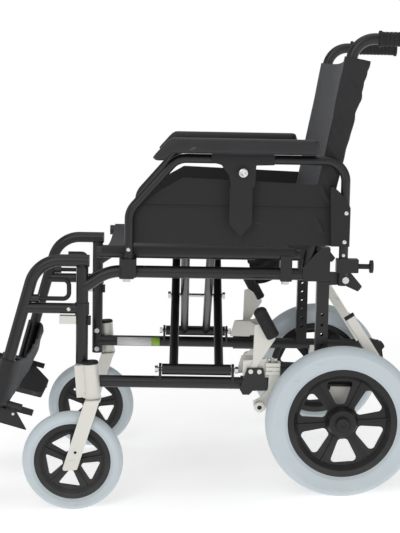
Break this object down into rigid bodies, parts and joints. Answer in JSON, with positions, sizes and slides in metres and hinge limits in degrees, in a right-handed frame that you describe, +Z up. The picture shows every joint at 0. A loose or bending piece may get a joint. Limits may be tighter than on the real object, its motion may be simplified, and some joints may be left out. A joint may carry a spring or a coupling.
{
  "type": "manual wheelchair",
  "caption": "Folding attendant-propelled wheelchair with swing-away legrests, flip-back armrests, swivel casters and push handles.",
  "frame": {"origin": "on the floor, midway between the side frames, under the middle of the overall box", "axes": "+X to the user's left, -Y forward, +Z up"},
  "size_m": [0.5786, 1.0136, 0.901],
  "materials": {
    "frame": "satin powder coat",
    "silver": "satin clear anodised",
    "bolts": "zinc plated",
    "black_plastic": "matte moulded",
    "plate_plastic": "matte moulded",
    "panel": "fine textured",
    "pad": "soft polyurethane",
    "grip": "ribbed rubber",
    "brake_grip": "semi-gloss",
    "rim": "matte moulded",
    "tyre": "solid grey polyurethane",
    "upholstery": "woven nylon"
  },
  "bodies": {
    "left_frame": {"left_side_frame": "frame", "left_back_cane": "frame", "left_push_grip": "grip", "left_caster_housing": "silver", "left_axle_bracket": "silver", "left_rear_strut": "silver", "left_sockets": "frame", "left_frame_caps": "black_plastic", "left_frame_bolts": "bolts", "left_brake_clamp": "frame", "left_brake_mount": "silver", "back_sling": "upholstery"},
    "left_caster": {"left_caster_fork": "silver"},
    "left_caster_wheel": {"left_caster_rim": "rim", "left_caster_tyre": "tyre"},
    "left_rear_wheel": {"left_rear_rim": "rim", "left_rear_tyre": "tyre"},
    "left_armrest": {"left_armrest_tube": "frame", "left_side_panel": "panel"},
    "left_pad": {"left_pad_post": "black_plastic", "left_arm_pad": "pad"},
    "left_plunger": {"left_plunger": "black_plastic"},
    "left_legrest": {"left_legrest_hanger": "frame", "calf_strap": "upholstery"},
    "left_release": {"left_release_lever": "frame"},
    "left_stem": {"left_foot_stem": "frame"},
    "left_footplate": {"left_footplate": "plate_plastic"},
    "left_brake_lever": {"left_brake_lever": "brake_grip"},
    "left_brake_shoe": {"left_brake_shoe": "silver"},
    "right_frame": {"right_side_frame": "frame", "right_back_cane": "frame", "right_push_grip": "grip", "right_caster_housing": "silver", "right_axle_bracket": "silver", "right_rear_strut": "silver", "right_sockets": "frame", "right_frame_caps": "black_plastic", "right_frame_bolts": "bolts", "right_brake_clamp": "frame", "right_brake_mount": "silver"},
    "right_caster": {"right_caster_fork": "silver"},
    "right_caster_wheel": {"right_caster_rim": "rim", "right_caster_tyre": "tyre"},
    "right_rear_wheel": {"right_rear_rim": "rim", "right_rear_tyre": "tyre"},
    "right_armrest": {"right_armrest_tube": "frame", "right_side_panel": "panel"},
    "right_pad": {"right_pad_post": "black_plastic", "right_arm_pad": "pad"},
    "right_plunger": {"right_plunger": "black_plastic"},
    "right_legrest": {"right_legrest_hanger": "frame"},
    "right_release": {"right_release_lever": "frame"},
    "right_stem": {"right_foot_stem": "frame"},
    "right_footplate": {"right_footplate": "plate_plastic"},
    "right_brake_lever": {"right_brake_lever": "brake_grip"},
    "right_brake_shoe": {"right_brake_shoe": "silver"},
    "brace_outer": {"brace_outer": "frame", "brace_bolt": "bolts", "seat_sling": "upholstery"},
    "brace_inner": {"brace_inner": "frame"}
  },
  "joints": [
    {"name": "fold", "type": "hinge", "parent": "left_frame", "child": "brace_outer", "pos_m": [0.215, 0.011, 0.26209], "axis": [0, 0.9966, -0.0819], "range_deg": [0, 45], "deforming": ["seat_sling", "back_sling", "calf_strap"]},
    {"name": "brace_cross", "type": "hinge", "parent": "brace_outer", "child": "brace_inner", "pos_m": [0, 0.02001, 0.37774], "axis": [0, -0.9966, 0.0819], "range_deg": [0, 90]},
    {"name": "brace_foot", "type": "hinge", "parent": "brace_inner", "child": "right_frame", "pos_m": [-0.215, 0.011, 0.26209], "axis": [0, 0.9966, -0.0819], "range_deg": [0, 45]},
    {"name": "left_caster_swivel", "type": "hinge", "parent": "left_frame", "child": "left_caster", "pos_m": [0.236, -0.19625, 0.222], "axis": [0, 0, 1], "continuous": true},
    {"name": "left_caster_spin", "type": "hinge", "parent": "left_caster", "child": "left_caster_wheel", "pos_m": [0.236, -0.24575, 0.1], "axis": [1, 0, 0], "continuous": true},
    {"name": "left_wheel_spin", "type": "hinge", "parent": "left_frame", "child": "left_rear_wheel", "pos_m": [0.262, 0.28825, 0.15], "axis": [1, 0, 0], "continuous": true},
    {"name": "left_armrest_flip", "type": "hinge", "parent": "left_frame", "child": "left_armrest", "pos_m": [0.24, 0.31103, 0.42706], "axis": [-1, 0, 0], "range_deg": [0, 100]},
    {"name": "left_pad_height", "type": "slide", "parent": "left_armrest", "child": "left_pad", "axis": [0, 0.0819, 0.9966], "range_m": [0, 0.06]},
    {"name": "left_plunger_pull", "type": "slide", "parent": "left_armrest", "child": "left_plunger", "axis": [0, 0.9966, -0.0819], "range_m": [0, 0.008], "stiffness_N_per_m": 400},
    {"name": "left_legrest_swing", "type": "hinge", "parent": "left_frame", "child": "left_legrest", "pos_m": [0.215, -0.1982, 0.49402], "axis": [0, 0.0819, 0.9966], "range_deg": [0, 90]},
    {"name": "left_release_press", "type": "hinge", "parent": "left_legrest", "child": "left_release", "pos_m": [0.215, -0.29235, 0.4255], "axis": [0, -0.9966, 0.0819], "range_deg": [0, 15], "stiffness_Nm_per_rad": 0.5},
    {"name": "left_stem_length", "type": "slide", "parent": "left_legrest", "child": "left_stem", "axis": [0, -0.3469, -0.9379], "range_m": [0, 0.05]},
    {"name": "left_footplate_flip", "type": "hinge", "parent": "left_stem", "child": "left_footplate", "pos_m": [0.1985, -0.39028, 0.22184], "axis": [0, 0.9379, -0.3469], "range_deg": [0, 90]},
    {"name": "left_brake_push", "type": "hinge", "parent": "left_frame", "child": "left_brake_lever", "pos_m": [0.2316, 0.11739, 0.25636], "axis": [1, 0, 0], "range_deg": [0, 35]},
    {"name": "left_brake_press", "type": "hinge", "parent": "left_frame", "child": "left_brake_shoe", "pos_m": [0.2316, 0.16456, 0.25649], "axis": [1, 0, 0], "range_deg": [0, 1.4]},
    {"name": "right_caster_swivel", "type": "hinge", "parent": "right_frame", "child": "right_caster", "pos_m": [-0.236, -0.19625, 0.222], "axis": [0, 0, 1], "continuous": true},
    {"name": "right_caster_spin", "type": "hinge", "parent": "right_caster", "child": "right_caster_wheel", "pos_m": [-0.236, -0.24575, 0.1], "axis": [1, 0, 0], "continuous": true},
    {"name": "right_wheel_spin", "type": "hinge", "parent": "right_frame", "child": "right_rear_wheel", "pos_m": [-0.262, 0.28825, 0.15], "axis": [1, 0, 0], "continuous": true},
    {"name": "right_armrest_flip", "type": "hinge", "parent": "right_frame", "child": "right_armrest", "pos_m": [-0.24, 0.31103, 0.42706], "axis": [-1, 0, 0], "range_deg": [0, 100]},
    {"name": "right_pad_height", "type": "slide", "parent": "right_armrest", "child": "right_pad", "axis": [0, 0.0819, 0.9966], "range_m": [0, 0.06]},
    {"name": "right_plunger_pull", "type": "slide", "parent": "right_armrest", "child": "right_plunger", "axis": [0, 0.9966, -0.0819], "range_m": [0, 0.008], "stiffness_N_per_m": 400},
    {"name": "right_legrest_swing", "type": "hinge", "parent": "right_frame", "child": "right_legrest", "pos_m": [-0.215, -0.1982, 0.49402], "axis": [0, -0.0819, -0.9966], "range_deg": [0, 90]},
    {"name": "right_release_press", "type": "hinge", "parent": "right_legrest", "child": "right_release", "pos_m": [-0.215, -0.29235, 0.4255], "axis": [0, 0.9966, -0.0819], "range_deg": [0, 15], "stiffness_Nm_per_rad": 0.5},
    {"name": "right_stem_length", "type": "slide", "parent": "right_legrest", "child": "right_stem", "axis": [0, -0.3469, -0.9379], "range_m": [0, 0.05]},
    {"name": "right_footplate_flip", "type": "hinge", "parent": "right_stem", "child": "right_footplate", "pos_m": [-0.1985, -0.39028, 0.22184], "axis": [0, -0.9379, 0.3469], "range_deg": [0, 90]},
    {"name": "right_brake_push", "type": "hinge", "parent": "right_frame", "child": "right_brake_lever", "pos_m": [-0.2316, 0.11739, 0.25636], "axis": [1, 0, 0], "range_deg": [0, 35]},
    {"name": "right_brake_press", "type": "hinge", "parent": "right_frame", "child": "right_brake_shoe", "pos_m": [-0.2316, 0.16456, 0.25649], "axis": [1, 0, 0], "range_deg": [0, 1.4]}
  ],
  "couplings": [
    {"joint": "brace_cross", "follows": "fold", "ratio": 2},
    {"joint": "brace_foot", "follows": "fold", "ratio": 1},
    {"joint": "left_footplate_flip", "follows": "fold", "ratio": 2},
    {"joint": "left_brake_press", "follows": "left_brake_push", "ratio": 0.04},
    {"joint": "right_footplate_flip", "follows": "fold", "ratio": 2},
    {"joint": "right_brake_press", "follows": "right_brake_push", "ratio": 0.04}
  ]
}
